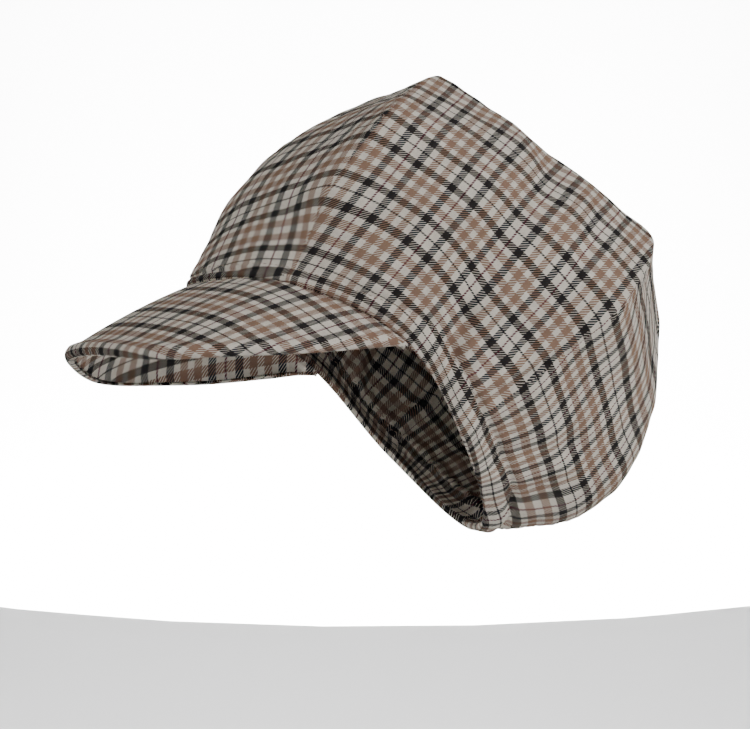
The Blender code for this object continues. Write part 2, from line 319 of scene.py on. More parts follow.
def climb(grid):
    """Distance from the first row to each point, up its own column."""
    steps = np.linalg.norm(np.diff(grid, axis=0), axis=-1)
    return np.vstack([np.zeros(grid.shape[1]), np.cumsum(steps, axis=0)])


def way_round(grid):
    """Distance from the first column to each point, round its own row."""
    steps = np.linalg.norm(np.diff(grid, axis=1), axis=-1)
    return np.hstack([np.zeros((grid.shape[0], 1)), np.cumsum(steps, axis=1)])


def hem_width(stations):
    """Height of the crease where the hem's casing is stitched, higher behind the peak."""
    gained = CASING_GAIN * ease(stations, *GAIN_STATIONS)
    return CASING + gained - CASING_LOSS * ease(stations, *LOSS_STATIONS)


def press(grid, stations, heights):
    """The half crown's grid with its hem crease, dart grooves and folds pressed in."""
    climbed = climb(grid)
    hem = hem_width(stations)
    behind_peak = ease(stations, *GATHER_STATIONS)
    crease = np.exp(-(((climbed - hem) / HEM_CREASE_WIDTH) ** 2))
    depth = HEM_CREASE * (0.2 + 0.8 * behind_peak) * crease
    depth -= HEM_SWELL * np.sin(np.pi * np.clip(climbed / hem, 0.0, 1.0)) ** 2
    along = way_round(grid)[0]
    pull = np.sin(2 * np.pi * along / GATHER_LENGTH)
    pull = pull + 0.5 * np.sin(2 * np.pi * along / SHORT_GATHER_LENGTH + 1.3)
    depth += GATHER * behind_peak * pull * np.exp(-(((climbed - hem) / GATHER_REACH) ** 2))
    at_front = 1 - ease(stations, *TUCK_STATIONS)
    above_tuck = climbed - TUCK_HEIGHT
    depth += TUCK_DEPTH * at_front * np.exp(-((above_tuck / TUCK_WIDTH) ** 2))
    overhang = np.exp(-(((above_tuck - OVERHANG_HEIGHT) / OVERHANG_WIDTH) ** 2))
    depth -= TUCK_OVERHANG * at_front * overhang
    for station, start, groove in (
        (FRONT_CORNER, FRONT_DART[0], DART_GROOVE),
        (BACK_CORNER, BACK_DART[0], BACK_GROOVE),
        (1.0, BACK_SEAM_START, BACK_GROOVE),
    ):
        seam = np.argmin(np.abs(stations - station))
        away = np.linalg.norm(grid - grid[:, seam:seam + 1], axis=-1)
        sewn = ease(heights, start, start + GROOVE_GROWTH) * (1 - ease(heights, *GROOVE_FADE))
        sewn = sewn[:, None]
        depth += groove * sewn * np.exp(-((away / GROOVE_WIDTH) ** 2))
        pucker = np.sin(2 * np.pi * climbed[:, seam:seam + 1] / PUCKER_LENGTH)
        beside = np.exp(-(((away - PUCKER_WIDTH) / PUCKER_WIDTH) ** 2))
        depth += PUCKER * sewn * pucker * beside
    for deep, wide, route in FOLDS:
        points = []
        for station, height in route:
            column = np.argmin(np.abs(stations - station))
            row = np.argmin(np.abs(heights - height))
            points.append(grid[row, column])
        depth += deep * np.exp(-((distance_to(grid, points) / wide) ** 2))
    pressed = grid - outward(grid) * depth[..., None]
    pressed[-1] = grid[-1]
    pressed[:, 0, 0] = 0.0
    pressed[:, -1, 0] = 0.0
    return pressed


half_stations = np.concatenate([
    toward_seams(FRONT_COLUMNS, 0.0, FRONT_CORNER, both_sewn=False)[:-1],
    toward_seams(SIDE_COLUMNS, FRONT_CORNER, BACK_CORNER)[:-1],
    toward_seams(BACK_COLUMNS, BACK_CORNER, 1.0),
])
hem_top = HEM_TOP / CLOTH_HEIGHT
row_heights = np.concatenate([
    np.linspace(0.0, hem_top, HEM_ROWS, endpoint=False),
    np.linspace(hem_top, 1.0, BAG_ROWS + 1),
])
smooth_half = crown_grid(row_heights, half_stations)
half = press(smooth_half, half_stations, row_heights)


def slipped(stations, heights):
    """Slip of the check at each height (row) and station (column), the same on both sides."""
    levels = np.array([row[0] for row in SLIP])
    table = np.array([row[1] for row in SLIP], float)
    table = smooth_curve(levels, table, np.clip(heights, levels[0], levels[-1]))
    carried = np.concatenate([[-SLIP_STATIONS[1]], SLIP_STATIONS, [2 - SLIP_STATIONS[-2]]])
    table = np.hstack([table[:, 1:2], table, table[:, -2:-1]])
    slip = smooth_curve(carried, table.T, stations).T
    below_tuck = heights[:, None] * CLOTH_HEIGHT < TUCK_HEIGHT
    in_band = BAND_SLIP + (slip - BAND_SLIP) * ease(stations, *BAND_STATIONS)
    return np.where(below_tuck, in_band, slip)


def laid_back(stations, heights):
    """Places round and up in the back panel's cloth at each height (row) and station (column)."""
    levels = np.array([row[0] for row in BACK_CLOTH])
    table = np.array([row[1:] for row in BACK_CLOTH], float).reshape(len(levels), -1)
    table = smooth_curve(levels, table, np.clip(heights, levels[0], levels[-1]))
    table = table.reshape(len(heights), len(BACK_STATIONS), 2).transpose(1, 0, 2)
    places = smooth_curve(BACK_STATIONS, table.reshape(len(BACK_STATIONS), -1), stations)
    return places.reshape(len(stations), len(heights), 2).transpose(1, 0, 2)


def cloth_coordinates(grid, stations, heights):
    """Place of each point in the uncut cloth, in millimetres: u round the bag, v up it.

    u is given twice for each column, for the faces before it and the faces after it, because the
    check jumps across a dart. The cloth is whole below a dart, so there u doesn't jump.
    """
    u_before = np.zeros(grid.shape[:2])
    u_after = np.zeros(grid.shape[:2])
    round_half = way_round(grid)
    corner = int(np.argmin(np.abs(stations - FRONT_CORNER)))
    side = int(np.argmin(np.abs(stations - SIDE)))
    back = int(np.argmin(np.abs(stations - BACK_CORNER)))
    starts = int(np.argmin(np.abs(heights - FRONT_PARTS)))
    splits = int(np.argmin(np.abs(heights - BACK_DART[0])))
    drift = SIDE_DRIFT * ease(heights, *DRIFT_HEIGHTS)[:, None]

    def measured(first, last, anchor, stop):
        """Lengths round the rows from the column anchor, all alike below the row stop."""
        lengths = round_half[:, first:last + 1] - round_half[:, anchor:anchor + 1]
        lengths[:stop] = lengths[stop]
        return lengths

    front_of_side = measured(corner, side, side, starts) - drift
    back_of_side = measured(side, back, side, splits) - drift
    width = round_half[starts, corner] - round_half[starts, 0]
    front = measured(0, corner, 0, starts) + front_of_side[starts, 0] - FRONT_TAKEN_UP - width
    back_panel = laid_back(stations[back:], heights)
    v = CLOTH_HEIGHT * heights[:, None] + slipped(stations, heights)
    v[:, back + 1:] = back_panel[:, 1:, 1]
    back_u = back_panel[..., 0]
    blocks = ((0, front), (corner, front_of_side), (side, back_of_side), (back, back_u))
    for first, block in blocks:
        last = first + block.shape[1] - 1
        u_before[:, first + 1:last + 1] = block[:, 1:]
        u_after[:, first:last] = block[:, :-1]
    return u_before, u_after, v


u_before, u_after, v_half = cloth_coordinates(smooth_half, half_stations, row_heights)
u_front = u_after[0, 0]


def all_round(half_grid):
    """The whole ring of columns: along the right side from back to front, then along the left."""
    right = half_grid[:, :0:-1] * np.array((-1.0, 1.0, 1.0))
    return np.concatenate([right, half_grid[:, :-1]], axis=1)


ring = all_round(half)
# u at the start and the end of each face round the ring: the right half counts back from the front
start_u = np.concatenate([2 * u_front - u_before[:, :0:-1], u_after[:, :-1]], axis=1)
end_u = np.concatenate([2 * u_front - u_after[:, -2::-1], u_before[:, 1:]], axis=1)
ring_v = np.concatenate([v_half[:, :0:-1], v_half[:, :-1]], axis=1)


def ring_outward(grid):
    """Unit normals of a closed ring of columns, pointing out of the bag."""
    across = np.roll(grid, -1, axis=1) - np.roll(grid, 1, axis=1)
    normals = np.cross(across, np.gradient(grid, axis=0))
    normals[-1] = (0.0, math.sin(LEAN), math.cos(LEAN))
    return unit(normals)


def wrinkles(points):
    """Millimetres that small wrinkles stand proud at each point, the same in every run."""
    height = np.empty(points.shape[:2])
    for row in range(points.shape[0]):
        for column in range(points.shape[1]):
            place = Vector(points[row, column])
            height[row, column] = sum(
                rise * noise.noise(place / length) for rise, length in WRINKLES
            )
    return height


wrinkled = wrinkles(ring) * ease(climb(ring), *WRINKLE_START)
ring = ring + (ring_outward(ring) * wrinkled[..., None])
ring_normals = ring_outward(ring)

MILLIMETRE = 0.001


def smooth_piece(name, vertices, faces):
    """A smooth mesh object from vertices in metres, linked to the scene."""
    mesh = bpy.data.meshes.new(name)
    mesh.from_pydata(vertices, [], faces)
    mesh.update()
    mesh.shade_smooth()
    piece = bpy.data.objects.new(name, mesh)
    bpy.context.scene.collection.objects.link(piece)
    return piece


def sew_mesh(name, rows, face_u, face_v, closed=True):
    """Piece from rows of points in millimetres, with the cloth coordinates of every face corner.

    face_u is (start, end) of each face along the row, and face_v is the value at each point. A
    closed piece joins round its rows, and its first and last rows shrink to one point.
    """
    count = len(rows)
    columns = rows[0].shape[0]
    vertices = []
    first = []
    for r, row in enumerate(rows):
        first.append(len(vertices))
        vertices.extend(row[:1] if closed and r in (0, count - 1) else row)
    faces = []
    coordinates = []
    for r in range(count - 1):
        low_pole = closed and r == 0
        high_pole = closed and r == count - 2
        for c in range(columns if closed else columns - 1):
            after = (c + 1) % columns
            low = (first[r] + c, face_u[0][r][c], face_v[r][c])
            low_after = (first[r] + after, face_u[1][r][c], face_v[r][after])
            high_after = (first[r + 1] + after, face_u[1][r + 1][c], face_v[r + 1][after])
            high = (first[r + 1] + c, face_u[0][r + 1][c], face_v[r + 1][c])
            if low_pole:
                corners = ((first[r], low[1], low[2]), high_after, high)
            elif high_pole:
                corners = (low, low_after, (first[r + 1], high[1], high[2]))
            else:
                corners = (low, low_after, high_after, high)
            faces.append([corner[0] for corner in corners])
            coordinates.extend((corner[1], corner[2]) for corner in corners)
    piece = smooth_piece(name, (np.array(vertices) * MILLIMETRE).tolist(), faces)
    cloth_map = piece.data.uv_layers.new(name="cloth")
    cloth_map.data.foreach_set("uv", np.array(coordinates, np.float32).ravel())
    return piece


# The rows of the shell, from the inner side's top down to the hem's facing, round the rolled
# edge, and up the outer side. The roll is raised, so that it ends near the opening's edge.
ROLL_STEPS = 8
ROLL_RAISED = HEM_ROLL * 0.6
shell_rows = []
shell_u = ([], [])
shell_v = []


def add_row(points, source, drop=0.0):
    """Add one row of points that takes its cloth coordinates from the ring's row source."""
    shell_rows.append(points)
    shell_u[0].append(start_u[source])
    shell_u[1].append(end_u[source])
    shell_v.append(ring_v[source] + drop)


facing_row = int(np.argmin(np.abs(row_heights * CLOTH_HEIGHT - HEM_FACING)))
for r in range(len(ring) - 1, facing_row, -2):
    add_row(ring[r] - ring_normals[r] * CLOTH, r)
for r in range(facing_row, 0, -1):
    thinning = HEM_THINNING * ease(row_heights[r] * CLOTH_HEIGHT, THINNING_START, HEM_FACING)
    thick = HEM_ROLL * 2 * (1 - thinning)
    add_row(ring[r] - ring_normals[r] * thick, r)
hang = unit(ring[0] - ring[2])
for step in range(1, ROLL_STEPS):
    turn = math.pi * step / ROLL_STEPS
    inward = HEM_ROLL * (1 + math.cos(turn))
    below = HEM_ROLL * math.sin(turn)
    add_row(ring[1] - ring_normals[1] * inward + hang * (below - ROLL_RAISED), 1, -below)
for r in range(1, len(ring)):
    add_row(ring[r], r)
crown = sew_mesh("crown_bag", shell_rows, shell_u, shell_v)


class Dye:
    """A number, colour or direction that varies over the cloth, as the socket that gives it."""

    def __init__(self, tree, socket):
        self.tree = tree
        self.socket = socket

    def node(self, kind, settings=None, sockets=None, out=0):
        """Add a node: its settings are set first, then its sockets are filled or linked."""
        added = self.tree.nodes.new(kind)
        for name, setting in (settings or {}).items():
            setattr(added, name, setting)
        for name, value in (sockets or {}).items():
            if isinstance(value, Dye):
                self.tree.links.new(value.socket, added.inputs[name])
            else:
                added.inputs[name].default_value = value
        return Dye(self.tree, added.outputs[out])

    def maths(self, operation, *values):
        return self.node("ShaderNodeMath", {"operation": operation}, dict(enumerate(values)))

    def __add__(self, other):
        return self.maths("ADD", self, other)

    def __sub__(self, other):
        return self.maths("SUBTRACT", self, other)

    def __rsub__(self, other):
        return self.maths("SUBTRACT", other, self)

    def __mul__(self, other):
        return self.maths("MULTIPLY", self, other)

    def __truediv__(self, other):
        return self.maths("DIVIDE", self, other)

    def __mod__(self, other):
        return self.maths("FLOORED_MODULO", self, other)

    def __abs__(self):
        return self.maths("ABSOLUTE", self)

    __radd__ = __add__
    __rmul__ = __mul__

    def clamped(self):
        return self.node("ShaderNodeClamp", None, {0: self})

    def scaled(self, share):
        """This colour with its brightness multiplied by share."""
        return self.node("ShaderNodeVectorMath", {"operation": "SCALE"}, {0: self, "Scale": share})

    def over(self, colour, mask):
        """This colour with another laid over it where the mask is 1."""
        return self.node("ShaderNodeMix", {"data_type": "RGBA"}, {0: mask, 6: self, 7: colour}, 2)


# The check, in millimetres of cloth. Met on the way round, pairs of charcoal stripes with a fine
# red line between them. Met on the way up, pairs of dark brown stripes with a fine black line
# between them. Two tan stripes fill each wider gap. Each row: distance from the fine line, width,
# colour, and how much more than half of the twill it covers.
WARP_REPEAT = 36.6
WARP_PHASE = -59.5
WARP_STRIPES = (
    (14.55, 4.1, (0.235, 0.148, 0.108, 1), 0.20),
    (7.1, 4.2, (0.016, 0.018, 0.022, 1), 0.23),
    (0.0, 1.15, (0.085, 0.016, 0.030, 1), 0.22),
)
WEFT_REPEAT = 43.0
WEFT_PHASE = 17.5
WEFT_STRIPES = (
    (16.8, 4.9, (0.235, 0.148, 0.108, 1), 0.20),
    (8.5, 4.7, (0.023, 0.017, 0.014, 1), 0.27),
    (0.0, 1.1, (0.018, 0.015, 0.016, 1), 0.25),
)
CREAM = (0.630, 0.585, 0.512, 1)
# The twill's rib, and how soft the edges of the stripes and of the floats on each rib are
TWILL = 1.72
STRIPE_SOFTNESS = 0.35
FLOAT_SOFTNESS = 0.3
# How fast the yarns' slubs, the worn patches, the specks of colour and the fuzz vary, in waves for
# each millimetre
SLUB_ACROSS = 1.9
SLUB_ALONG = 0.16
PATCHES = 0.035
SPECKS = 0.7
FUZZ = 1.3


def checked_twill(name, warp_phase, weft_phase):
    """Matt cotton twill woven in the check, for a piece with cloth coordinates."""
    material = bpy.data.materials.new(name)
    material.use_nodes = True
    tree = material.node_tree
    shader = tree.nodes["Principled BSDF"]
    place = Dye(tree, None).node("ShaderNodeUVMap", {"uv_map": "cloth"})
    u = place.node("ShaderNodeSeparateXYZ", None, {0: place}, out=0)
    v = place.node("ShaderNodeSeparateXYZ", None, {0: place}, out=1)

    def uneven(fast_round, fast_up, out=0):
        """Noise that varies this fast round and up the cloth: a number, or at out 1 a colour."""
        stretched = place.node("ShaderNodeCombineXYZ", None, {0: u * fast_round, 1: v * fast_up})
        sockets = {"Vector": stretched, "Detail": 2.0}
        return place.node("ShaderNodeTexNoise", {"noise_dimensions": "2D"}, sockets, out)

    def yarns(along, repeat, phase, stripes, slub):
        """Colour of one set of yarns, and how much more than half of the twill it covers."""
        line = abs((along + (repeat / 2 - phase)) % repeat - repeat / 2)
        colour = place.node("ShaderNodeRGB")
        colour.socket.default_value = CREAM
        lead = 0.0
        for centre, width, dye, cover in stripes:
            stripe = ((width / 2 - abs(line - centre)) / STRIPE_SOFTNESS + 0.5).clamped()
            colour = colour.over(dye, stripe)
            lead = stripe * cover + lead
        return colour.scaled(slub * 0.9 + 0.55), lead

    warp_slub = uneven(SLUB_ACROSS, SLUB_ALONG)
    warp, warp_lead = yarns(u, WARP_REPEAT, warp_phase, WARP_STRIPES, warp_slub)
    weft_slub = uneven(SLUB_ALONG, SLUB_ACROSS)
    weft, weft_lead = yarns(v, WEFT_REPEAT, weft_phase, WEFT_STRIPES, weft_slub)
    rib = abs(((u - v) / TWILL) % 1.0 - 0.5) * 2
    floats = ((rib + warp_lead - weft_lead - 0.5) / FLOAT_SOFTNESS + 0.5).clamped()
    patch = uneven(PATCHES, PATCHES)
    speck = uneven(SPECKS, SPECKS, out=1)
    colour = weft.over(warp, floats).scaled(patch * 0.24 + 0.88)
    sockets = {0: speck, 1: (0.32, 0.26, 0.32), 2: (0.84, 0.87, 0.84)}
    cast = speck.node("ShaderNodeVectorMath", {"operation": "MULTIPLY_ADD"}, sockets)
    colour = colour.node("ShaderNodeVectorMath", {"operation": "MULTIPLY"}, {0: colour, 1: cast})
    tree.links.new(colour.socket, shader.inputs["Base Color"])
    height = abs(rib - 0.5) * 0.7 + uneven(FUZZ, FUZZ) * 0.8
    sockets = {"Height": height, "Strength": 0.55, "Distance": 0.00025}
    bump = height.node("ShaderNodeBump", None, sockets)
    tree.links.new(bump.socket, shader.inputs["Normal"])
    shader.inputs["Roughness"].default_value = 0.95
    shader.inputs["Specular IOR Level"].default_value = 0.08
    return material


crown_check = checked_twill("crown_check", WARP_PHASE, WEFT_PHASE)
crown.data.materials.append(crown_check)
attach(crown, "root")
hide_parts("crown")

# THE SEAM ALLOWANCES
# The cut edges of the crown's own twill, 6.5 mm past each line of sewing. They are turned to one
# side and pressed flat inside the bag, along its four darts and its back seam.

ALLOWANCE = 6.5
ALLOWANCE_THICK = 1.5
# How deep it is pressed into the bag's cloth, its thickness across its width and at its two ends
# as shares of the full, and the height where it stops below the top
ALLOWANCE_PRESSED = 0.3
ALLOWANCE_ROUNDED = np.array((0.75, 1.0, 0.7))
ALLOWANCE_TIP = 0.15
ALLOWANCE_TOP = 0.95
COLUMNS_COVERED = 24
half_columns = len(half_stations) - 1


def points_at(spots, run, line):
    """Points, or ways, at spots along a line whose own points lie at the distances in run."""
    return np.column_stack([np.interp(spots, run, line[:, k]) for k in range(3)])


def seam_allowance(name, seam, way, first_height):
    """The turned edges of a seam, pressed flat against the inside of the bag on one side of it."""
    start = int(np.argmin(np.abs(row_heights - first_height)))
    end = int(np.argmin(np.abs(row_heights - ALLOWANCE_TOP)))
    picked = list(range(start, end, 2))
    rows, u_start, u_end, v = [], [], [], []
    columns = (seam + way * np.arange(COLUMNS_COVERED)) % ring.shape[1]
    spots = np.array((0.1, ALLOWANCE / 2, ALLOWANCE))
    for place, r in enumerate(picked):
        wall = ring[r, columns] - ring_normals[r, columns] * CLOTH
        run = way_round(wall[None])[0]
        to_end = min(place, len(picked) - 1 - place)
        thick = ALLOWANCE_THICK * min(1.0, ALLOWANCE_TIP + to_end / 4)
        foot = points_at(spots, run, wall)
        inward = -unit(points_at(spots, run, ring_normals[r, columns]))
        face = foot + inward * thick * ALLOWANCE_ROUNDED[:, None]
        loop = np.vstack([foot - inward * ALLOWANCE_PRESSED, face[::-1]])
        away = np.concatenate([spots, spots[::-1]]) * way + start_u[r, seam]
        if way < 0:
            loop, away = loop[::-1], away[::-1]
        rows.append(loop)
        u_start.append(away)
        u_end.append(np.roll(away, -1))
        v.append(np.full(len(loop), ring_v[r, seam]))
    return sew_mesh(name, rows, (u_start, u_end), v)


left_front = half_columns + int(np.argmin(np.abs(half_stations - FRONT_CORNER)))
left_back = half_columns + int(np.argmin(np.abs(half_stations - BACK_CORNER)))
allowances = [
    seam_allowance("front_dart_allowance_left", left_front, 1, 0.10),
    seam_allowance("front_dart_allowance_right", 2 * half_columns - left_front, -1, 0.10),
    seam_allowance("back_dart_allowance_left", left_back, -1, 0.26),
    seam_allowance("back_dart_allowance_right", 2 * half_columns - left_back, 1, 0.26),
    seam_allowance("back_seam_allowance", 0, 1, 0.09),
]
for piece in allowances:
    piece.data.materials.append(crown_check)
    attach(piece, "root")
    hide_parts("crown")

# THE HEM'S STITCHES
# Dull cotton thread in running stitches. They go through both layers of the turned-in hem, above
# its elastic, and show as one line outside and another inside.

STITCH = 2.3
STITCH_GAP = 1.1
THREAD = 0.23
# In radii of the thread: how high a stitch arches, and how deep its ends lie in the cloth
STITCH_ARCH = 1.3
STITCH_SUNK = 0.5
STITCH_POINTS = 5
THREAD_SIDES = 6


def stitches(name, line, away):
    """Running stitches along a closed line, each a thread that dips in at both of its ends."""
    line = np.vstack([line, line[:1]])
    away = np.vstack([away, away[:1]])
    run = np.concatenate([[0.0], np.cumsum(np.linalg.norm(np.diff(line, axis=0), axis=1))])
    count = int(run[-1] // (STITCH + STITCH_GAP))
    shares = np.linspace(0.0, 1.0, STITCH_POINTS)
    arch = np.sin(np.pi * shares)[:, None]
    vertices = []
    faces = []
    for number in range(count):
        at = (number + shares * STITCH / (STITCH + STITCH_GAP)) * run[-1] / count
        middle = points_at(at, run, line)
        up = unit(points_at(at, run, away))
        aside = np.cross(unit(np.gradient(middle, axis=0)), up)
        middle = middle + up * THREAD * (STITCH_ARCH * arch - STITCH_SUNK)
        first = len(vertices)
        for point, rise, side, share in zip(middle, up, aside, arch[:, 0]):
            thick = THREAD * (0.45 + 0.55 * share)
            for k in range(THREAD_SIDES):
                turn = 2 * math.pi * k / THREAD_SIDES
                vertices.append(point + (rise * math.sin(turn) + side * math.cos(turn)) * thick)
        last = len(vertices) - THREAD_SIDES
        for low in range(first, last, THREAD_SIDES):
            high = low + THREAD_SIDES
            for k in range(THREAD_SIDES):
                after = (k + 1) % THREAD_SIDES
                faces.append((low + k, high + k, high + after, low + after))
        faces.append(tuple(first + k for k in range(THREAD_SIDES)))
        faces.append(tuple(last + k for k in reversed(range(THREAD_SIDES))))
    return smooth_piece(name, (np.array(vertices) * MILLIMETRE).tolist(), faces)


hem_ring = hem_width(np.concatenate([half_stations[:0:-1], half_stations[:-1]]))
ring_climb = climb(ring)


def at_hem(grid):
    """The point of each column of a ring's grid that lies at the hem's line of stitches."""
    return np.vstack([
        points_at(hem_ring[c], ring_climb[:, c], grid[:, c]) for c in range(grid.shape[1])
    ])


sewn_line = at_hem(ring)
sewn_away = unit(at_hem(ring_normals))
casing = HEM_ROLL * 2 * (1 - HEM_THINNING * ease(hem_ring, THINNING_START, HEM_FACING))
seams = [
    stitches("hem_stitches", sewn_line, sewn_away),
    stitches("hem_stitches_inside", sewn_line - sewn_away * casing[:, None], -sewn_away),
]


def sewing_thread():
    """Dull cotton thread, a little uneven in its dye."""
    material = bpy.data.materials.new("hem_thread")
    material.use_nodes = True
    tree = material.node_tree
    shader = tree.nodes["Principled BSDF"]
    place = Dye(tree, None).node("ShaderNodeTexCoord", out=3)
    sockets = {"Vector": place, "Scale": 900.0, "Detail": 2.0}
    slub = place.node("ShaderNodeTexNoise", None, sockets)
    flax = place.node("ShaderNodeRGB")
    flax.socket.default_value = (0.30, 0.24, 0.19, 1)
    tree.links.new(flax.scaled(slub * 0.9 + 0.55).socket, shader.inputs["Base Color"])
    sockets = {"Height": slub, "Strength": 0.6, "Distance": 0.0002}
    bump = slub.node("ShaderNodeBump", None, sockets)
    tree.links.new(bump.socket, shader.inputs["Normal"])
    shader.inputs["Roughness"].default_value = 0.8
    shader.inputs["Specular IOR Level"].default_value = 0.2
    return material


thread = sewing_thread()
for piece in seams:
    piece.data.materials.append(thread)
    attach(piece, "root")
    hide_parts("crown")

# THE PEAK'S TOP COVER
# The crown's checked twill, cut with its stripes from front to back and stretched over a stiff
# arched board. It rolls round the board's edge, and its back edge is sewn to the front of the hem.

# The peak's edge, offset from the hem: station, then outward, ahead and down in millimetres
PEAK_EDGE = np.array((
    (0.00, 0.0, 68.0, 39.0),
    (0.06, 11.1, 66.0, 40.4),
    (0.12, 22.7, 59.2, 43.7),
    (0.20, 27.0, 49.0, 43.7),
    (0.30, 21.1, 22.4, 34.2),
    (0.38, 10.3, 3.4, 19.5),
    (0.45, 3.2, 2.7, 5.7),
    (0.48, 0.4, 0.3, 0.7),
))
# Millimetres: the peak between its two faces, its top cover's cloth, the rise of its middle, the
# radius of its rolled edge, and how far from the edge its faces begin and end their swell to it
PEAK_THICKNESS = 4.2
PEAK_COVER = 1.0
PEAK_CAMBER = 2.0
PEAK_EDGE_ROLL = 3.7
PEAK_SWELL = (11.0, 3.0)
# How far its back edge is tucked under the hem, the gap where it is sewn, and the reach over which
# it thins away at its two ends
PEAK_TUCKED = 2.4
SEAM_GAP = 0.3
PEAK_ENDS = (-3.0, 14.0)
# The inner side of the rolled edge, as a share of its radius
INNER_ROLL = 0.62
PEAK_COLUMNS = 72
PEAK_ROWS = 30
TURN_ROWS = 10
# The top cover's check on its flattened cloth: how far it is stretched across and ahead, how much
# its stripes bend back at the sides, and its place
TOP_ACROSS = 1.236
TOP_AHEAD = 0.951
TOP_BEND = 0.362
TOP_PLACE = 88.3
BEND_ROUNDING = 20.0

flip = np.array((-1.0, 1.0, 1.0))
peak_stations = np.linspace(0.0, PEAK_EDGE[-1, 0], PEAK_COLUMNS + 1)
offsets = PEAK_EDGE[:, 1:] * np.array((1.0, -1.0, -1.0))
offset = smooth_curve(
    np.concatenate([[-PEAK_EDGE[1, 0]], PEAK_EDGE[:, 0]]),
    np.vstack([offsets[1] * flip, offsets]),
    peak_stations,
)
hem_line = rim_points(peak_stations)
seam_line = hem_line + unit(offset) * SEAM_GAP
edge_line = hem_line + offset
round_the_hem = np.gradient(seam_line, axis=0)
round_the_hem[0] = (1.0, 0.0, 0.0)
lift = unit(np.cross(round_the_hem, edge_line - seam_line))
lift *= np.sign(lift[:, 2:3])
reach = unit(edge_line - seam_line)


def lay_flat(inner, outer):
    """The strip between two lines unrolled into the plane, from its first column outwards."""
    flat_inner = [np.zeros(2)]
    flat_outer = [np.array((0.0, -np.linalg.norm(outer[0] - inner[0])))]
    for k in range(1, len(inner)):
        from_inner = np.linalg.norm(inner[k] - inner[k - 1])
        from_outer = np.linalg.norm(inner[k] - outer[k - 1])
        flat_inner.append(meet(flat_inner[-1], flat_outer[-1], from_inner, from_outer))
        from_inner = np.linalg.norm(outer[k] - inner[k])
        from_outer = np.linalg.norm(outer[k] - outer[k - 1])
        flat_outer.append(meet(flat_inner[-1], flat_outer[-1], from_inner, from_outer))
    return np.array(flat_inner), np.array(flat_outer)


def meet(first, second, first_length, second_length):
    """The point at given distances from two points, on the left of the way down between them."""
    run = second - first
    length = np.linalg.norm(run)
    along = (first_length**2 - second_length**2 + length**2) / (2 * length)
    aside = math.sqrt(max(first_length**2 - along**2, 0.0))
    way = run / length
    return first + way * along + np.array((-way[1], way[0])) * aside


flat_seam, flat_edge = lay_flat(seam_line, edge_line)
reach_length = np.linalg.norm(edge_line - seam_line, axis=1)[:, None]
# The covers and their roll thin away where the peak runs out into the hem
narrowing = ease(reach_length, *PEAK_ENDS)


def peak_row(share, sink):
    """Points of the peak at a share of its reach, sunk below its top, and their flat places."""
    bulge = 4 * np.maximum(share, 0.0) * (1 - share) * PEAK_CAMBER
    starts, ends = (reach_length - before for before in PEAK_SWELL)
    swell = (PEAK_EDGE_ROLL - PEAK_THICKNESS / 2) * ease(share * reach_length, starts, ends)
    swell = swell * narrowing * (1 if sink < PEAK_THICKNESS / 2 else -1)
    points = seam_line * (1 - share) + edge_line * share + lift * (bulge + swell - sink)
    return points, flat_seam * (1 - share) + flat_edge * share


def both_sides(row):
    """A half row with its mirror image before it."""
    points, flat = row
    points = points.copy()
    points[0, 0] = 0.0
    whole = np.vstack([points[:0:-1] * flip, points])
    laid = np.vstack([flat[:0:-1] * np.array((-1.0, 1.0)), flat])
    return whole, laid


def along_the_peak(across, ahead):
    """Cloth coordinates of the top cover, cut with its stripes running front to back."""
    bend = TOP_BEND * np.hypot(across, BEND_ROUNDING)
    return across * TOP_ACROSS - TOP_PLACE, ahead * TOP_AHEAD - bend


def peak_piece(name, rows, lay_check):
    """A cover of the peak from its half rows, with the check laid on its flattened cloth."""
    rows = [both_sides(row) for row in rows]
    laid_check = [lay_check(laid[:, 0], laid[:, 1]) for _, laid in rows]
    u = [places[0] for places in laid_check]
    v = [places[1] for places in laid_check]
    across = ([row[:-1] for row in u], [row[1:] for row in u])
    return sew_mesh(name, [points for points, _ in rows], across, v, closed=False)


radius = PEAK_EDGE_ROLL * narrowing
flat_way = unit(flat_edge - flat_seam)
inset = radius / reach_length


def edge_roll(turn, radius_now):
    """A row round the peak's edge: turn 0 is on its top face and pi is on its under face."""
    centre = edge_line - reach * radius - lift * PEAK_THICKNESS / 2 * narrowing
    points = centre + reach * radius_now * math.sin(turn) + lift * radius_now * math.cos(turn)
    return points, flat_edge + flat_way * radius * (turn - 1)


tucked = -PEAK_TUCKED / reach_length


def between(share, sink):
    """A row of a cover at a share of the way from its tucked edge to the edge's roll."""
    return peak_row(tucked + share * (1 - inset - tucked), sink)


top_rows = [between(r / PEAK_ROWS, 0.0) for r in range(PEAK_ROWS + 1)]
turns = [math.pi * k / TURN_ROWS for k in range(TURN_ROWS + 1)]
top_rows += [edge_roll(turn, radius) for turn in turns[1:]]
top_rows += [edge_roll(turn, radius * INNER_ROLL) for turn in reversed(turns)]
top_rows += [between(1 - r / TURN_ROWS, PEAK_COVER) for r in range(1, TURN_ROWS + 1)]
top_rows.append(top_rows[0])
peak_top = peak_piece("peak_top", top_rows, along_the_peak)
peak_top.data.materials.append(checked_twill("peak_check", warp_phase=0.0, weft_phase=-49.6))
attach(peak_top, "root")
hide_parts("peak_top_cover")

# THE PEAK'S UNDER COVER
# The same twill, cut with its stripes from side to side and stretched under the board. Its edge is
# tucked inside the top cover's turned-in edge.

# How far it reaches toward the edge, as a share
UNDER_REACH = 0.985
# Its check on its flattened cloth: how far it is stretched ahead and across, how much its stripes
# bend back at the sides, how they fan out ahead, and its place
UNDER_AHEAD = 0.825
UNDER_ACROSS = 0.694
UNDER_BEND = 0.231
UNDER_FAN = 0.119
UNDER_PLACE = (7.5, 49.8)


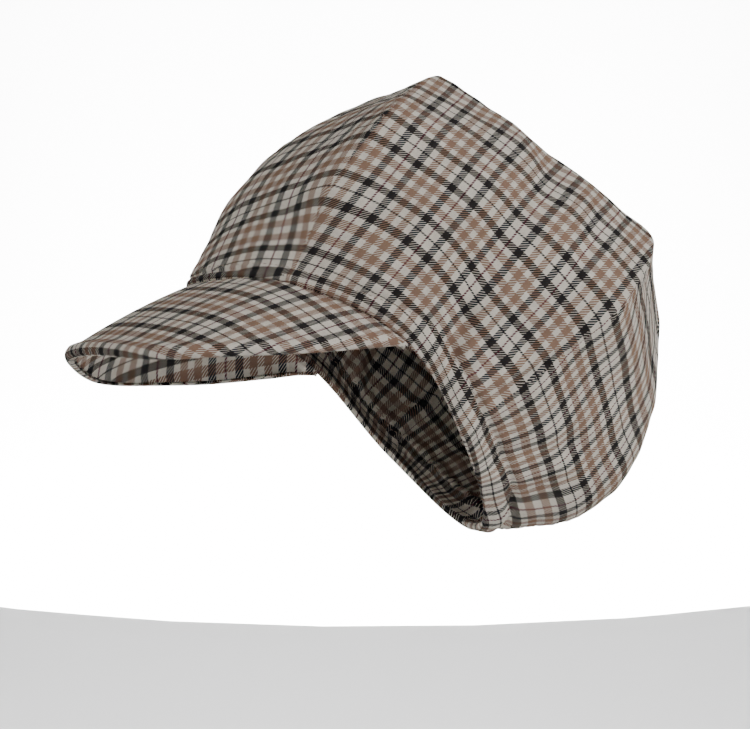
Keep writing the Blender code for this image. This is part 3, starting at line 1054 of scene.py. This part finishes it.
def across_the_peak(across, ahead):
    """Cloth coordinates of the under cover, cut with its stripes running from side to side."""
    bend = np.hypot(across, BEND_ROUNDING)
    u = UNDER_PLACE[0] - UNDER_BEND * bend - UNDER_AHEAD * ahead
    v = UNDER_FAN * ahead * across / bend - UNDER_ACROSS * across - UNDER_PLACE[1]
    return u, v


under_rows = [
    between(UNDER_REACH * (1 - r / PEAK_ROWS), PEAK_THICKNESS) for r in range(PEAK_ROWS + 1)
]
under_rows += [
    between(UNDER_REACH * r / TURN_ROWS, PEAK_THICKNESS - PEAK_COVER) for r in range(TURN_ROWS + 1)
]
under_rows.append(under_rows[0])
peak_under = peak_piece("peak_under", under_rows, across_the_peak)
peak_under.data.materials.append(checked_twill("peak_under_check", warp_phase=0.0, weft_phase=0.0))
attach(peak_under, "root")
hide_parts("peak_under_cover")

# THE STUDIO
# A pale sweep well below the cap and behind it, soft lights, and the camera at the photograph's
# angle, a little below the hem.

# Metres: the floor's level and flat reach, the radius of its curve up, and the backdrop's top
SWEEP_FLOOR = -0.52
SWEEP_FLAT = 6.0
SWEEP_CURVE = 3.0
SWEEP_TOP = 6.0
CURVE_STEPS = 24
SWEEP_SIDES = 96


def sweep():
    """Floor that curves up into a backdrop all round."""
    rings = [(0.5, SWEEP_FLOOR), (3.0, SWEEP_FLOOR)]
    for k in range(CURVE_STEPS + 1):
        turn = math.pi / 2 * k / CURVE_STEPS
        level = SWEEP_FLOOR + SWEEP_CURVE * (1 - math.cos(turn))
        rings.append((SWEEP_FLAT + SWEEP_CURVE * math.sin(turn), level))
    rings.append((SWEEP_FLAT + SWEEP_CURVE, SWEEP_TOP))
    vertices = [(0.0, 0.0, SWEEP_FLOOR)]
    for wide, level in rings:
        for k in range(SWEEP_SIDES):
            turn = 2 * math.pi * k / SWEEP_SIDES
            vertices.append((wide * math.cos(turn), wide * math.sin(turn), level))
    faces = [(0, 1 + k, 1 + (k + 1) % SWEEP_SIDES) for k in range(SWEEP_SIDES)]
    for r in range(len(rings) - 1):
        low = 1 + r * SWEEP_SIDES
        high = low + SWEEP_SIDES
        for k in range(SWEEP_SIDES):
            after = (k + 1) % SWEEP_SIDES
            faces.append((low + k, high + k, high + after, low + after))
    return smooth_piece("studio_sweep", vertices, faces)


floor = sweep()
paper = bpy.data.materials.new("pale_paper")
paper.use_nodes = True
paper_shader = paper.node_tree.nodes["Principled BSDF"]
paper_shader.inputs["Base Color"].default_value = (0.86, 0.86, 0.86, 1)
paper_shader.inputs["Roughness"].default_value = 0.95
floor.data.materials.append(paper)

# The point that the lights and the camera face
AIM = Vector((0.0029, 0.008, -0.0398))


def direction(azimuth, elevation):
    """Unit vector from the cap at angles in degrees, azimuth 0 to the front and 90 to its left."""
    a, e = math.radians(azimuth), math.radians(elevation)
    return Vector((math.sin(a) * math.cos(e), -math.cos(a) * math.cos(e), math.sin(e)))


def soft_light(name, place, target, size, power, colour=(1, 1, 1)):
    """A square softbox at a place, facing its target."""
    lamp = bpy.data.lights.new(name, "AREA")
    lamp.shape = "SQUARE"
    lamp.size = size
    lamp.energy = power
    lamp.color = colour
    holder = bpy.data.objects.new(name, lamp)
    bpy.context.scene.collection.objects.link(holder)
    holder.location = place
    holder.rotation_euler = (place - target).to_track_quat("Z", "Y").to_euler()
    holder.visible_camera = False


# Each softbox has its place, its target, its size in metres, its power in watts and its colour
soft_light("key_softbox", AIM + direction(113, 25) * 2.2, AIM, 1.4, 22.5, (1.0, 0.985, 0.975))
soft_light("fill_softbox", AIM + direction(15, 25) * 2.6, AIM, 1.6, 1.1, (1.0, 0.74, 0.48))
soft_light("top_softbox", AIM + direction(80, 80) * 2.2, AIM, 1.6, 3.4, (1.0, 0.97, 0.93))
# One strong lamp whitens the backdrop opposite the camera, and five weak ones the rest of it
for k in range(6):
    way = direction(250 + 60 * k, 0)
    wall = way * (SWEEP_FLAT + SWEEP_CURVE) + Vector((0, 0, 1.1))
    if k == 0:
        place, size, power = way * 7.6 + Vector((0, 0, 1.1)), 3.8, 1150
    else:
        place, size, power = way * 5.6 + Vector((0, 0, 4.2)), 2.4, 70
    soft_light("backdrop_lamp_%d" % k, place, wall, size, power)

world = bpy.data.worlds.new("studio_air")
bpy.context.scene.world = world
world.use_nodes = True
background = world.node_tree.nodes["Background"]
background.inputs["Color"].default_value = (1, 1, 1, 1)
background.inputs["Strength"].default_value = 0.145

# The photograph's angle in degrees, its distance and the width of one of its pixels at the cap in
# metres, and its width in pixels
VIEW_AZIMUTH = 70.0
VIEW_ELEVATION = -6.4
VIEW_DISTANCE = 1.55
PIXEL_AT_CAP = 0.00056
PIXELS_WIDE = 750
SENSOR_WIDTH = 36.0

away = direction(VIEW_AZIMUTH, VIEW_ELEVATION)
lens = bpy.data.cameras.new("camera")
lens.sensor_fit = "HORIZONTAL"
lens.sensor_width = SENSOR_WIDTH
lens.lens = SENSOR_WIDTH * (VIEW_DISTANCE / PIXEL_AT_CAP) / PIXELS_WIDE
camera = bpy.data.objects.new("camera", lens)
bpy.context.scene.collection.objects.link(camera)
camera.location = AIM + away * VIEW_DISTANCE
camera.rotation_euler = away.to_track_quat("Z", "Y").to_euler()
bpy.context.scene.camera = camera
